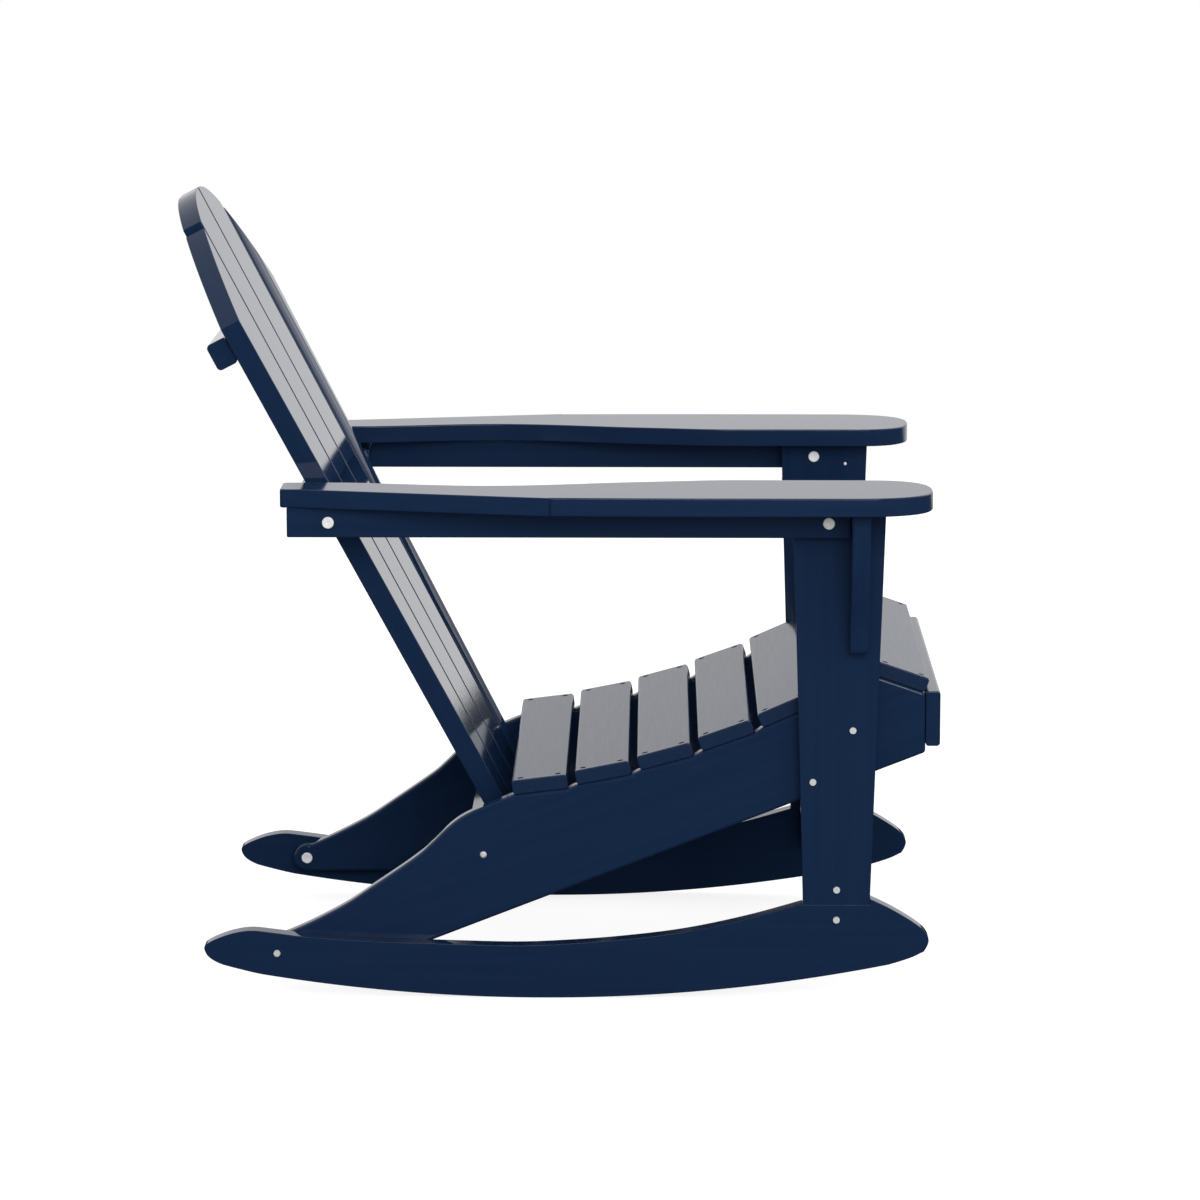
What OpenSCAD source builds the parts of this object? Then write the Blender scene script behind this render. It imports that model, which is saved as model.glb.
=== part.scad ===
// Outdoor rocking chair of solid boards: two rockers, splayed arms and a fan-shaped back.
// Millimetres, +Z up. The chair faces -Y, and the sitter's left is +X.
// The side profile is drawn in Y and Z from the middle of the rockers' length and the floor.
// The whole chair then shifts along Y, so that the origin is under the centre of its box.

/* [Frame] */
// Clear width between the front legs, and the length of every seat slat
seat_w = 516; // [440:1:600]
// Thickness of the rockers, legs, seat rails, arm rails, brackets and armrests
board_t = 22; // [19:0.5:26]

/* [Rockers] */
// Length of a rocker from tip to tip
rocker_l = 874; // [820:1:940]
// Radius of the curve that rolls on the floor
rocker_r = 2080; // [1800:10:2600]
// How far the lowest point lies behind the middle of the rocker
rocker_low_back = 27; // [0:1:40]
// Height of the level seat on which the front leg stands
foot_h = 116; // [108:1:124]
// Height of the rocker's lip in front of the leg
foot_lip = 7.3; // [5:0.1:12]

/* [Front legs] */
// Distance of the legs' centre line ahead of the middle of the rockers
leg_ahead = 325.5; // [310:0.5:340]
// Width of a leg under the armrest
leg_top_w = 111; // [100:1:120]
// Width of a leg where it stands on the rocker
leg_foot_w = 80; // [70:1:90]
// Height of the plate that ties leg and rocker together on the inside
plate_h = 88; // [76:1:100]
// Width of that plate
plate_w = 52; // [40:1:60]

/* [Seat] */
// Width of a seat slat
slat_w = 67; // [60:0.5:70]
// Thickness of a seat slat and of the front apron
slat_t = 17.5; // [15:0.5:21]
// Rounding of the long edges of the slats
slat_round = 4; // [2:0.5:6]
// Gap between neighbouring slats
slat_gap = 9.8; // [7:0.1:13]
// Distance of the rearmost slat's centre behind the middle of the rockers
seat_back_y = 33; // [24:1:42]
// Height of the top of the rearmost slat at its centre
seat_back_z = 267; // [255:1:280]
// Slope of the rearmost slat
first_slat_angle = 7; // [5:0.5:9]
// How much steeper each next slat lies
slat_step_angle = 4.2; // [3:0.1:4.6]
// How much steeper the line of the slats climbs than the slats themselves
slat_lift_angle = 1.9; // [0:0.1:2.5]
// Downward slope of the front slat
nose_angle = 18.9; // [14:0.1:24]
// Gap under the ridge between the last rising slat and the front slat
nose_gap = 2; // [1:0.5:8]
// How far the front slat stands over the rails' front ends
nose_overhang = 4.5; // [2:0.5:5]
// Height of the rails' front ends
rail_front_h = 75.3; // [66:0.1:82]
// Slope of the rails' underside
rail_under_angle = 21.3; // [20:0.1:23]
// Distance of the rear rocker bolt behind the middle of the rockers
tail_y = 349; // [335:1:360]
// Height of the rear rocker bolt
tail_z = 54.5; // [52:0.5:58]
// Radius of the rail's tail round that bolt
tail_r = 18; // [15:0.5:20]
// Height of the front apron
apron_h = 67; // [55:1:70]

/* [Backrest] */
// Lean of the back from upright
back_lean = 27.6; // [25:0.1:30]
// Distance of the front lower edge of the back slats behind the middle of the rockers
back_foot_y = 52; // [46:1:60]
// Height of that edge
back_foot_z = 179; // [172:1:188]
// Length of the back from its foot to its peak
back_l = 875; // [820:1:920]
// Thickness of the back slats
back_t = 25; // [20:0.5:28]
// Distance of the back's lower corners from the inner faces of the seat rails
back_foot_in = 53; // [45:0.5:65]
// How much further out the shoulders of the back are than its lower corners
back_flare_out = 75.5; // [60:0.5:85]
// Distance of the shoulders from the foot
back_shoulder_l = 722; // [705:1:735]
// Width of an outer slat at the foot, with half a gap
back_outer_foot_w = 72; // [60:0.5:85]
// How much further out the outer gaps are at the top than at the foot
back_gap_out = 25; // [15:0.5:35]
// Gap between neighbouring back slats
back_gap = 8; // [5:0.5:11]
// Drop of the inner slats' top from the peak to their outer corners
arch_inner_drop = 33; // [25:1:45]
// Step down from there to the outer slats
arch_step = 8; // [4:1:15]
// Radius of the arch on the inner slats
arch_inner_r = 230; // [180:10:500]
// Radius of the arch on the outer slats
arch_outer_r = 400; // [250:10:800]
// Distance of the upper rail's centre from the foot of the back
upper_rail_l = 696; // [670:1:710]
// Height of the upper rail along the slats
upper_rail_h = 34; // [30:1:45]
// Thickness of the upper rail behind the slats
upper_rail_t = 27; // [22:0.5:32]
// How far the upper rail's ends stay inside the slats' outer edges
upper_rail_inset = 5; // [2:0.5:12]
// Depth of the lower rail behind the slats
lower_rail_d = 42; // [34:1:50]
// Thickness of the lower rail along the slats
lower_rail_t = 22; // [20:0.5:26]
// Distance of the lower rail's centre from the foot of the back
lower_rail_l = 16; // [14:0.5:22]

/* [Arms] */
// Height of the armrests' top
arm_h = 624; // [600:1:650]
// Length of an armrest
arm_l = 772.5; // [740:0.5:790]
// How far the armrest's rear end reaches behind the arm rail
arm_rear_overhang = 7.8; // [5:0.1:20]
// How far the narrow rear end reaches inboard of the leg's outer face
arm_stem_in = 33; // [28:1:36]
// How far the narrow rear end reaches outboard of that face
arm_stem_out = 25; // [23:0.5:35]
// How far the waist reaches inboard
arm_waist_in = 11; // [6:1:20]
// How far the broad front reaches inboard
arm_palm_in = 58; // [45:1:70]
// How far the broad front reaches outboard
arm_palm_out = 91.5; // [80:0.5:100]
// Height of the arm rail
arm_rail_h = 36; // [32:1:44]
// Distance of the arm rail's rear end behind the middle of the rockers
arm_rail_back = 330.2; // [320:0.1:340]
// Depth of the cross rail that ties the arm rails behind the back
cross_rail_d = 67; // [60:1:72]
// Thickness of the cross rail
cross_rail_t = 22; // [18:0.5:26]
// Distance of the arm bolt from the arm rail's rear end
cross_bolt_in = 49.2; // [44:0.1:52]
// Height of the bracket under the armrest
bracket_h = 176; // [150:1:190]
// Reach of the bracket under the armrest
bracket_reach = 66; // [50:1:70]
// Reach of the bracket at its lower end
bracket_foot = 22; // [16:1:30]
// Distance of the bracket's centre ahead of the leg's centre line
bracket_ahead = 23.5; // [20:0.5:28]
// Distance of the front arm bolt behind the leg's centre line
front_bolt_behind = 13.5; // [10:0.5:20]
// Length of the round corner at the armrest's front on the inside
arm_nose_in = 71; // [50:1:90]
// Length of the round corner at the armrest's front on the outside
arm_nose_out = 100; // [60:1:120]

/* [Fasteners] */
// Radius of the shank of the bolts
bolt_r = 3; // [2.5:0.1:3.5]
// Radius of the large flat heads
head_r = 7; // [6.5:0.1:8]
// Height of the large flat heads
head_h = 2.8; // [2:0.1:3.5]
// Radius of the sleeve of a barrel nut
sleeve_r = 4; // [3.9:0.05:4.2]
// Radius of the small domes of the barrel nuts
dome_r = 4.6; // [4.4:0.1:5.2]
// Height of those domes
dome_h = 2.2; // [1.6:0.1:3]
// Radius of the shank of the screws
screw_r = 2; // [1.6:0.1:2.4]
// Radius of the heads of the screws
screw_head_r = 3.6; // [3.2:0.1:4]
// Height of the heads of the screws
screw_head_h = 2.2; // [1.6:0.1:2.6]
// Depth of a screw head's upper face under the slat
screw_sink = 1.2; // [0.6:0.1:2]
// Distance between the two screws at a slat's end
screw_pair = 45.6; // [38:0.1:48]
// Distance between the two screws at the apron's end
apron_screw_pair = 36; // [30:0.5:40]
// Distance of that pair's middle under the apron's middle
apron_screw_drop = 6; // [4:0.5:8]
// How far a screw reaches into the second piece
screw_bite = 18; // [14:0.5:20]
// Depth of board left under the sleeve of a barrel nut
sleeve_floor = 4; // [3:0.5:6]

/* [Fits] */
// Clearance all round a bolt, sleeve or screw in its hole
hole_play = 0.15; // [0.1:0.05:0.3]
// Clearance between the back and the cross rail's notch at each side
notch_play = 1; // [0.5:0.1:2]
// Clearance in front of and behind a leg's foot in the rocker
foot_play = 0.3; // [0.2:0.1:0.6]

/* [Hidden] */

$fn = 48;
lumber = [0.10, 0.17, 0.29];
steel = [0.80, 0.81, 0.82];
// Steps of a curve between two of its points
curve_steps = 6;
arch_steps = 16;
quarter_turn = 90;
// Overrun of a cutting shape past the face that it opens
cut = 1;

// Planes of one side of the chair, as distances from its middle
rail_in_x = seat_w / 2 - board_t;
rail_out_x = seat_w / 2;
leg_out_x = rail_out_x + board_t;
arm_rail_out_x = leg_out_x + board_t;

// Heights
arm_under_z = arm_h - board_t;
leg_h = arm_under_z - foot_h;
arm_bolt_z = arm_under_z - arm_rail_h / 2;

// A point of the side profile: how far ahead of the rockers' middle, and how high
function ahead(u, z) = [-u, z];
function unit(angle) = [cos(angle), sin(angle)];
function upright(angle) = [-sin(angle), cos(angle)];

// Seat slats: the last one slopes down to the front
slat_count = 7;
rising = slat_count - 1;
function slat_angle(k) = k < rising ? first_slat_angle + slat_step_angle * k : -nose_angle;
function slat_step(k) = (slat_angle(k - 1) + slat_angle(k)) / 2 + slat_lift_angle;
function rising_centre(k) = k == 0
    ? [-seat_back_y, seat_back_z]
    : rising_centre(k - 1) + (slat_w + slat_gap) * unit(slat_step(k));
ridge = rising_centre(rising - 1)
    + slat_w / 2 * unit(slat_angle(rising - 1))
    - slat_t * upright(slat_angle(rising - 1));
nose_centre = ridge + [nose_gap, 0]
    + slat_t * upright(-nose_angle)
    + slat_w / 2 * unit(-nose_angle);
// Centre of a slat's top, ahead and up, and a point of its lower face
function slat_centre(k) = k < rising ? rising_centre(k) : nose_centre;
function slat_under(k, along) =
    slat_centre(k) + along * unit(slat_angle(k)) - slat_t * upright(slat_angle(k));

// Seat rails
nose_tip = slat_centre(rising) + slat_w / 2 * unit(-nose_angle);
rail_front_u = nose_tip[0] - nose_overhang;
rail_front_z = slat_under(rising, slat_w / 2)[1]
    - (rail_front_u - slat_under(rising, slat_w / 2)[0]) * tan(nose_angle);
rail_low_z = rail_front_z - rail_front_h;
rail_nose_round = 5;
function rail_under_z(u) = rail_low_z - (rail_front_u - u) * tan(rail_under_angle);
tail_low_z = tail_z - tail_r;
tail_bend_u = rail_front_u - (rail_low_z - tail_low_z) / tan(rail_under_angle);
tail_start = slat_under(0, -slat_w / 2);
// Upper edge of the tail: shares of the way back to the bolt, and of the height over it
tail_shares = [
    [0, 1], [0.12, 0.925], [0.205, 0.868], [0.272, 0.796], [0.344, 0.69], [0.42, 0.59],
    [0.60, 0.403], [0.715, 0.288], [0.85, 0.18], [0.94, 0.118]
];
// Where that edge meets the round end, as a turn round the bolt
tail_start_angle = 105;
tail_end_angle = -90;
tail_turn_steps = 24;

// Apron
apron_lift = 1.5;
apron_top_z = rail_front_z + apron_lift;
apron_mid_z = apron_top_z - apron_h / 2;
front_reach = rail_front_u + slat_t;

// Bolts from leg to seat rail: ahead of the leg's centre line, and over the rail's underside
leg_bolt_ahead = [18, -29.5];
leg_bolt_over = [67.6, 23];
// Bolts of the joint plate, over and under the leg's foot
plate_bolt_off = 18.5;

// Back slats in their own plane: across, and along from the foot
back_half_foot = rail_in_x - back_foot_in;
back_inner_half = back_half_foot - back_outer_foot_w;
back_flare = back_flare_out / back_shoulder_l;
arch_inner_l = back_l - arch_inner_drop;
arch_outer_l = arch_inner_l - arch_step;
inner_flare = back_gap_out / arch_inner_l;
function back_edge_x(l) = back_half_foot + back_flare * l;
function inner_gap_x(l) = back_inner_half + inner_flare * l;
back_rear_y = back_foot_y + back_l * sin(back_lean) + back_t * cos(back_lean);
middle_y = (back_rear_y - front_reach) / 2;
// Lower rail: centre line, behind the slats and up from the floor
lower_rail_n = back_t + lower_rail_d / 2;
lower_rail_y = back_foot_y + lower_rail_l * sin(back_lean) + lower_rail_n * cos(back_lean);
lower_rail_z = back_foot_z + lower_rail_l * cos(back_lean) - lower_rail_n * sin(back_lean);
// Upper rail
upper_rail_half = back_edge_x(upper_rail_l - upper_rail_h / 2) - upper_rail_inset;
upper_rail_round = 5.5;
// Cross rail: level, with its rear edge flush with the ends of the arm rails
cross_front_y = arm_rail_back - cross_rail_d;
cross_bolt_y = arm_rail_back - cross_bolt_in;
function back_l_at(z) = (z - back_foot_z) / cos(back_lean);
function back_y_at(z, n) =
    back_foot_y + (z - back_foot_z) * tan(back_lean) + n / cos(back_lean);
cross_web = arm_rail_back - back_y_at(arm_bolt_z, back_t);

// Places across the back where the rails are screwed to the slats
function slat_mid_x(l, which) = which == 0
    ? (inner_gap_x(l) + back_edge_x(l)) / 2
    : inner_gap_x(l) / 2;
function slat_lines(l) =
    [-slat_mid_x(l, 0), -slat_mid_x(l, 1), slat_mid_x(l, 1), slat_mid_x(l, 0)];
back_screw_bite = 15;
cross_screw_bite = 16;

// Armrest outline: shares of its length from the rear end
arm_stem_share = 0.095;
arm_stem_bend_share = 0.15;
arm_stem_bend_in_share = 0.27;
arm_waist_shares = [0.27, 0.35];
arm_swell_shares = [0.425, 0.51, 0.595];
// Shares of the way from the waist to the broad front's inner edge
arm_swell_in_shares = [0.2, 0.53, 0.78];
arm_palm_share = 0.68;
arm_cheek_in_share = 1 - arm_nose_in / arm_l;
arm_cheek_out_share = 1 - arm_nose_out / arm_l;
arm_outer_shares = [0.03, 0.38, 0.43];
// Shares of the way from the narrow end to the broad front's outer edge
arm_outer_out_shares = [0, 0.90, 0.955];
arm_rear_round = 6;
// Below one, the round corners of the broad front are squarer than an ellipse
nose_power = 0.8;
arm_mid = (arm_palm_out - arm_palm_in) / 2;
arm_half = (arm_palm_out + arm_palm_in) / 2;

// Bracket outline: shares of the reach beyond its lower end, and of its height from the top
bracket_shares = [[1, 0.1], [0.95, 0.25], [0.8, 0.42], [0.52, 0.6], [0.24, 0.76], [0.06, 0.9]];
bracket_round = 7;
bracket_rear_u = leg_ahead + bracket_ahead - board_t / 2;
bracket_screw_fore = 4;
bracket_screw_u = leg_ahead + bracket_ahead + bracket_screw_fore;
bracket_screw_down_shares = [0.155, 0.62];
arm_screw_shares = [0.12, 0.5, 0.88];
arm_screw_bite = 15;

// Fasteners
socket_r = 3;
socket_d = 1.6;
ring_r = 5.2;
ring_d = 0.5;
dome_socket_r = 1.6;
dome_socket_d = 1;
screw_socket_r = 1.5;
screw_socket_d = 1.2;
sleeve_l = board_t - sleeve_floor;
dome_ball_r = (dome_r * dome_r + dome_h * dome_h) / (2 * dome_h);
bolt_hole_r = bolt_r + hole_play;
sleeve_hole_r = sleeve_r + hole_play;
screw_hole_r = screw_r + hole_play;
front_bolt_y = -(leg_ahead - front_bolt_behind);
lower_rail_bolt_bite = 42;
rear_arm_bolt_bite = 40;
small_screw_head_r = 2.6;
small_screw_head_h = 1.4;

// A smooth curve through points
function curve_at(a, b, c, d, t) =
    0.5 * (2 * b + (c - a) * t + (2 * a - 5 * b + 4 * c - d) * t * t
    + (3 * b - a - 3 * c + d) * t * t * t);
function curve(p) = [
    for (i = [0 : len(p) - 2]) for (j = [0 : curve_steps - 1])
        curve_at(p[max(i - 1, 0)], p[i], p[i + 1], p[min(i + 2, len(p) - 1)], j / curve_steps),
    p[len(p) - 1]
];
// Points of an arc about a centre, from one turn to another
function arc(centre, r, from, to, steps) =
    [for (i = [0 : steps]) centre + r * unit(from + (to - from) * i / steps)];
// Points of an arc of a given radius that bulges to the left of the way from a to b
function bulge(a, b, r, steps) =
    let (
        way = b - a,
        span = norm(way),
        half = asin(min(span / 2 / r, 1)),
        left = [-way[1], way[0]] / span,
        centre = (a + b) / 2 - left * r * cos(half),
        start = atan2(a[1] - centre[1], a[0] - centre[0])
    )
    [for (i = [0 : steps]) centre + r * unit(start - 2 * half * i / steps)];

// Moves a profile that is drawn about the rockers' middle into the chair's frame
module place() {
    translate([0, -middle_y, 0]) children();
}

// A board of the side profile, from one distance from the middle to a greater one
module side_board(in_x, out_x) {
    translate([in_x, 0, 0]) rotate([90, 0, 90]) linear_extrude(out_x - in_x) children();
}

// Puts a shape of the sitter's left side on the left or the right
module on_side(side) {
    if (side > 0) children();
    else mirror([1, 0, 0]) children();
}

// Puts a shape on both sides
module both_sides() {
    children();
    mirror([1, 0, 0]) children();
}

// A shape that points along +X, at a place of the side profile
module across(x, y, z) {
    translate([x, y, z]) rotate([0, 90, 0]) children();
}

// A round hole across the chair
module hole_across(from_x, to_x, y, z, r) {
    across(from_x, y, z) cylinder(r = r, h = to_x - from_x);
}

// The plane of the back: across, up along the slats, and out of their front
module on_back() {
    translate([0, back_foot_y, back_foot_z]) rotate([90 - back_lean, 0, 0]) children();
}

// The frame of a seat slat: across, to the front along it, and out of its top
module on_slat(k) {
    c = slat_centre(k);
    translate([0, -c[0], c[1]]) rotate([-slat_angle(k), 0, 0]) children();
}

// A bar section with rounded edges, centred
module bar_section(w, h, r) {
    square([w - 2 * r, h], center = true);
    square([w, h - 2 * r], center = true);
    for (x = [-1, 1], y = [-1, 1])
        translate([x * (w / 2 - r), y * (h / 2 - r)]) circle(r);
}

// A six-sided socket in a head that stands h high
module socket(r, depth, h) {
    translate([0, 0, h - depth]) cylinder(r = r, h = depth + cut, $fn = 6);
}

// The large flat round head, with its ring and socket
module flat_head() {
    difference() {
        cylinder(r = head_r, h = head_h);
        socket(socket_r, socket_d, head_h);
        translate([0, 0, head_h - ring_d]) cylinder(r = ring_r, h = ring_d + cut);
    }
}

// The small dome
module dome_head() {
    difference() {
        intersection() {
            translate([0, 0, dome_h - dome_ball_r]) sphere(dome_ball_r);
            cylinder(r = dome_r, h = dome_h + cut);
        }
        socket(dome_socket_r, dome_socket_d, dome_h);
    }
}

// A sleeve that points down from z = 0, bored for a bolt
module sleeve(length) {
    difference() {
        translate([0, 0, -length]) cylinder(r = sleeve_r, h = length);
        translate([0, 0, -length - cut]) cylinder(r = bolt_hole_r, h = length);
    }
}

// A shank that points down from z = 0
module shank(length) {
    translate([0, 0, -length]) cylinder(r = bolt_r, h = length);
}

// A bolt with a large flat head, pointing down from z = 0
module bolt(length) {
    flat_head();
    shank(length);
}

// A barrel nut with a small dome, pointing down from z = 0
module dome_nut(length) {
    dome_head();
    sleeve(length);
}

// A barrel nut with the large flat head
module flat_nut(length) {
    flat_head();
    sleeve(length);
}

// A screw whose head lies under z = 0 and whose shank points down
module screw(length, r = screw_head_r, h = screw_head_h) {
    difference() {
        translate([0, 0, -h]) cylinder(r = r, h = h);
        socket(screw_socket_r, screw_socket_d, 0);
    }
    translate([0, 0, -h - length]) cylinder(r = screw_r, h = length);
}

// The hole for such a screw, open at z = open_z
module screw_hole(length, open_z, r = screw_head_r, h = screw_head_h) {
    translate([0, 0, -h]) cylinder(r = r + hole_play, h = h + open_z + cut);
    translate([0, 0, -h - length - hole_play])
        cylinder(r = screw_hole_r, h = length + hole_play + cut);
}

// Rockers
rocker_half = rocker_l / 2;
leg_foot_rear_u = leg_ahead - leg_foot_w / 2;
leg_foot_front_u = leg_ahead + leg_foot_w / 2;
// Upper edge behind the leg: shares of half the length ahead of the middle, and of the leg's seat
rocker_rear_shares = [
    [-0.8725, 0.268], [-0.9277, 0.321], [-0.9554, 0.353], [-0.9773, 0.396],
    [-0.993, 0.45], [-1, 0.525], [-0.99, 0.572], [-0.963, 0.624],
    [-0.92, 0.68], [-0.868, 0.708], [-0.80, 0.682], [-0.71, 0.64], [-0.54, 0.597],
    [-0.34, 0.573], [-0.14, 0.557], [0, 0.577], [0.15, 0.621], [0.325, 0.705], [0.50, 0.847]
];
// Front end, from the leg round to the floor curve
rocker_front_shares = [
    [0.895, 0.958], [0.955, 0.822], [0.988, 0.72], [1, 0.62],
    [0.989, 0.515], [0.9776, 0.486], [0.9554, 0.444], [0.9227, 0.4]
];
foot_rear_lip = 1.2;
foot_flare = (leg_top_w - leg_foot_w) / 2 / leg_h;
roll_rear_share = 0.84;
roll_front_share = 0.89;
roll_steps = 48;
function roll_z(u) = rocker_r - sqrt(rocker_r * rocker_r - pow(u + rocker_low_back, 2));
function rocker_point(s) = ahead(s[0] * rocker_half, s[1] * foot_h);

module rocker_outline() {
    rear_roll_u = -roll_rear_share * rocker_half;
    front_roll_u = roll_front_share * rocker_half;
    rear = curve(concat(
        [ahead(rear_roll_u, roll_z(rear_roll_u))],
        [for (s = rocker_rear_shares) rocker_point(s)],
        [ahead(leg_foot_rear_u - foot_flare * foot_rear_lip - foot_play, foot_h + foot_rear_lip)]
    ));
    seat = [
        ahead(leg_foot_rear_u - foot_play, foot_h),
        ahead(leg_foot_front_u + foot_play, foot_h)
    ];
    front = curve(concat(
        [ahead(leg_foot_front_u + foot_flare * foot_lip + foot_play, foot_h + foot_lip)],
        [for (s = rocker_front_shares) rocker_point(s)],
        [ahead(front_roll_u, roll_z(front_roll_u))]
    ));
    roll = [
        for (i = [1 : roll_steps - 1])
            let (u = front_roll_u + (rear_roll_u - front_roll_u) * i / roll_steps)
                ahead(u, roll_z(u))
    ];
    polygon(concat(rear, seat, front, roll));
}

module rocker(side) {
    color(lumber) on_side(side) place() difference() {
        side_board(rail_out_x, leg_out_x) rocker_outline();
        rocker_bolt_holes();
        plate_bolt_hole(foot_h - plate_bolt_off);
    }
}

// Holes of a bolt with its barrel nut on the outside of the leg or rocker
module nut_hole(y, z) {
    hole_across(leg_out_x - sleeve_l, leg_out_x + cut, y, z, sleeve_hole_r);
    hole_across(rail_in_x - cut, leg_out_x - sleeve_l + cut, y, z, bolt_hole_r);
}

module rocker_bolt_holes() {
    nut_hole(tail_y, tail_z);
}

module plate_bolt_hole(z) {
    nut_hole(-leg_ahead, z);
}

module leg_bolt_holes() {
    for (i = [0, 1]) nut_hole(leg_bolt_y(i), leg_bolt_z(i));
}

function leg_bolt_y(i) = -(leg_ahead + leg_bolt_ahead[i]);
function leg_bolt_z(i) = rail_under_z(leg_ahead + leg_bolt_ahead[i]) + leg_bolt_over[i];

// Front legs
module front_leg(side) {
    color(lumber) on_side(side) place() difference() {
        side_board(rail_out_x, leg_out_x) polygon([
            ahead(leg_foot_rear_u, foot_h),
            ahead(leg_foot_front_u, foot_h),
            ahead(leg_ahead + leg_top_w / 2, arm_under_z),
            ahead(leg_ahead - leg_top_w / 2, arm_under_z)
        ]);
        plate_bolt_hole(foot_h + plate_bolt_off);
        leg_bolt_holes();
        hole_across(rail_out_x - cut, leg_out_x + cut, front_bolt_y, arm_bolt_z, sleeve_hole_r);
        bracket_screw_places() bracket_screw_hole();
    }
}

module joint_plate(side) {
    color(lumber) on_side(side) place() difference() {
        side_board(rail_in_x, rail_out_x)
            translate(ahead(leg_ahead, foot_h)) bar_section(plate_w, plate_h, slat_round);
        plate_bolt_hole(foot_h - plate_bolt_off);
        plate_bolt_hole(foot_h + plate_bolt_off);
    }
}

// Seat rails
module seat_rail_outline() {
    tail = curve([
        for (s = tail_shares) ahead(
            tail_start[0] + s[0] * (-tail_y - tail_start[0]),
            tail_z + s[1] * (tail_start[1] - tail_z)
        )
    ]);
    round_end = arc([tail_y, tail_z], tail_r, tail_start_angle, tail_end_angle, tail_turn_steps);
    seats = [
        for (k = [rising : -1 : 0]) for (e = [1, -1])
            let (p = slat_under(k, e * slat_w / 2)) ahead(p[0], p[1])
    ];
    nose = arc([-rail_front_u + rail_nose_round, rail_low_z + rail_nose_round], rail_nose_round,
        270 - rail_under_angle, 180, curve_steps);
    polygon(concat(
        tail, round_end,
        [ahead(tail_bend_u, tail_low_z)],
        nose,
        [ahead(rail_front_u, rail_front_z)],
        [for (i = [1 : len(seats) - 2]) seats[i]]
    ));
}

module seat_rail(side) {
    color(lumber) on_side(side) place() difference() {
        side_board(rail_in_x, rail_out_x) seat_rail_outline();
        rocker_bolt_holes();
        leg_bolt_holes();
        hole_across(rail_in_x - cut, rail_out_x + cut, lower_rail_y, lower_rail_z, bolt_hole_r);
        for (k = [0 : rising]) seat_screw_places(k) seat_screw_hole();
        apron_screw_places() seat_screw_hole();
    }
}

// Seat slats and apron
module slat_body() {
    translate([-seat_w / 2, 0, 0]) rotate([90, 0, 90])
        linear_extrude(seat_w) bar_section(slat_w, slat_t, slat_round);
}

module seat_slat(k) {
    color(lumber) place() difference() {
        on_slat(k) translate([0, 0, -slat_t / 2]) slat_body();
        both_sides() seat_screw_places(k) seat_screw_hole();
    }
}

module front_apron() {
    color(lumber) place() difference() {
        translate([0, -(rail_front_u + slat_t / 2), apron_mid_z])
            translate([-seat_w / 2, 0, 0]) rotate([90, 0, 90])
                linear_extrude(seat_w) bar_section(slat_t, apron_h, slat_round);
        both_sides() apron_screw_places() seat_screw_hole();
    }
}

// Two screws through a slat's left end into the rail
module seat_screw_places(k) {
    for (e = [-1, 1]) on_slat(k)
        translate([(rail_in_x + rail_out_x) / 2, e * screw_pair / 2, -screw_sink]) children();
}

module apron_screw_places() {
    for (e = [-1, 1]) translate([
        (rail_in_x + rail_out_x) / 2,
        -(front_reach - screw_sink),
        apron_mid_z - apron_screw_drop + e * apron_screw_pair / 2
    ]) rotate([90, 0, 0]) children();
}

slat_screw_l = slat_t - screw_sink - screw_head_h + screw_bite;

module seat_screw_hole() {
    screw_hole(slat_screw_l, screw_sink);
}

module seat_screws() {
    color(steel) place() both_sides()
        for (k = [0 : rising]) seat_screw_places(k) screw(slat_screw_l);
}

module apron_screws() {
    color(steel) place() both_sides() apron_screw_places() screw(slat_screw_l);
}

// Backrest. Slats 1 to 4 run from the sitter's right to the left.
module inner_slat_outline() {
    foot_x = inner_gap_x(0) - back_gap / 2;
    top_x = inner_gap_x(arch_inner_l) - back_gap / 2;
    polygon(concat(
        [[back_gap / 2, 0]],
        bulge([back_gap / 2, back_l], [top_x, arch_inner_l], arch_inner_r, arch_steps),
        [[foot_x, 0]]
    ));
}

module outer_slat_outline() {
    polygon(concat(
        [[inner_gap_x(0) + back_gap / 2, 0]],
        bulge(
            [inner_gap_x(arch_outer_l) + back_gap / 2, arch_outer_l],
            [back_edge_x(back_shoulder_l), back_shoulder_l],
            arch_outer_r, arch_steps
        ),
        [[back_edge_x(0), 0]]
    ));
}

module back_slat(which) {
    side = which > 2 ? 1 : -1;
    color(lumber) place() difference() {
        on_back() on_side(side) translate([0, 0, -back_t]) linear_extrude(back_t) {
            if (which == 1 || which == 4) outer_slat_outline();
            else inner_slat_outline();
        }
        upper_screw_places() back_screw_hole();
        lower_screw_places() back_screw_hole();
        cross_screw_places() cross_screw_hole();
    }
}

module upper_back_rail() {
    color(lumber) place() difference() {
        on_back()
            translate([-upper_rail_half, upper_rail_l, -back_t - upper_rail_t / 2])
            rotate([90, 0, 90]) linear_extrude(2 * upper_rail_half)
            bar_section(upper_rail_h, upper_rail_t, upper_rail_round);
        upper_screw_places() back_screw_hole();
    }
}

module lower_back_rail() {
    color(lumber) place() difference() {
        on_back()
            translate([-rail_in_x, lower_rail_l, -lower_rail_n])
            rotate([90, 0, 90]) linear_extrude(2 * rail_in_x)
            square([lower_rail_t, lower_rail_d], center = true);
        lower_screw_places() back_screw_hole();
        both_sides() lower_rail_bolt_hole();
    }
}

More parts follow.
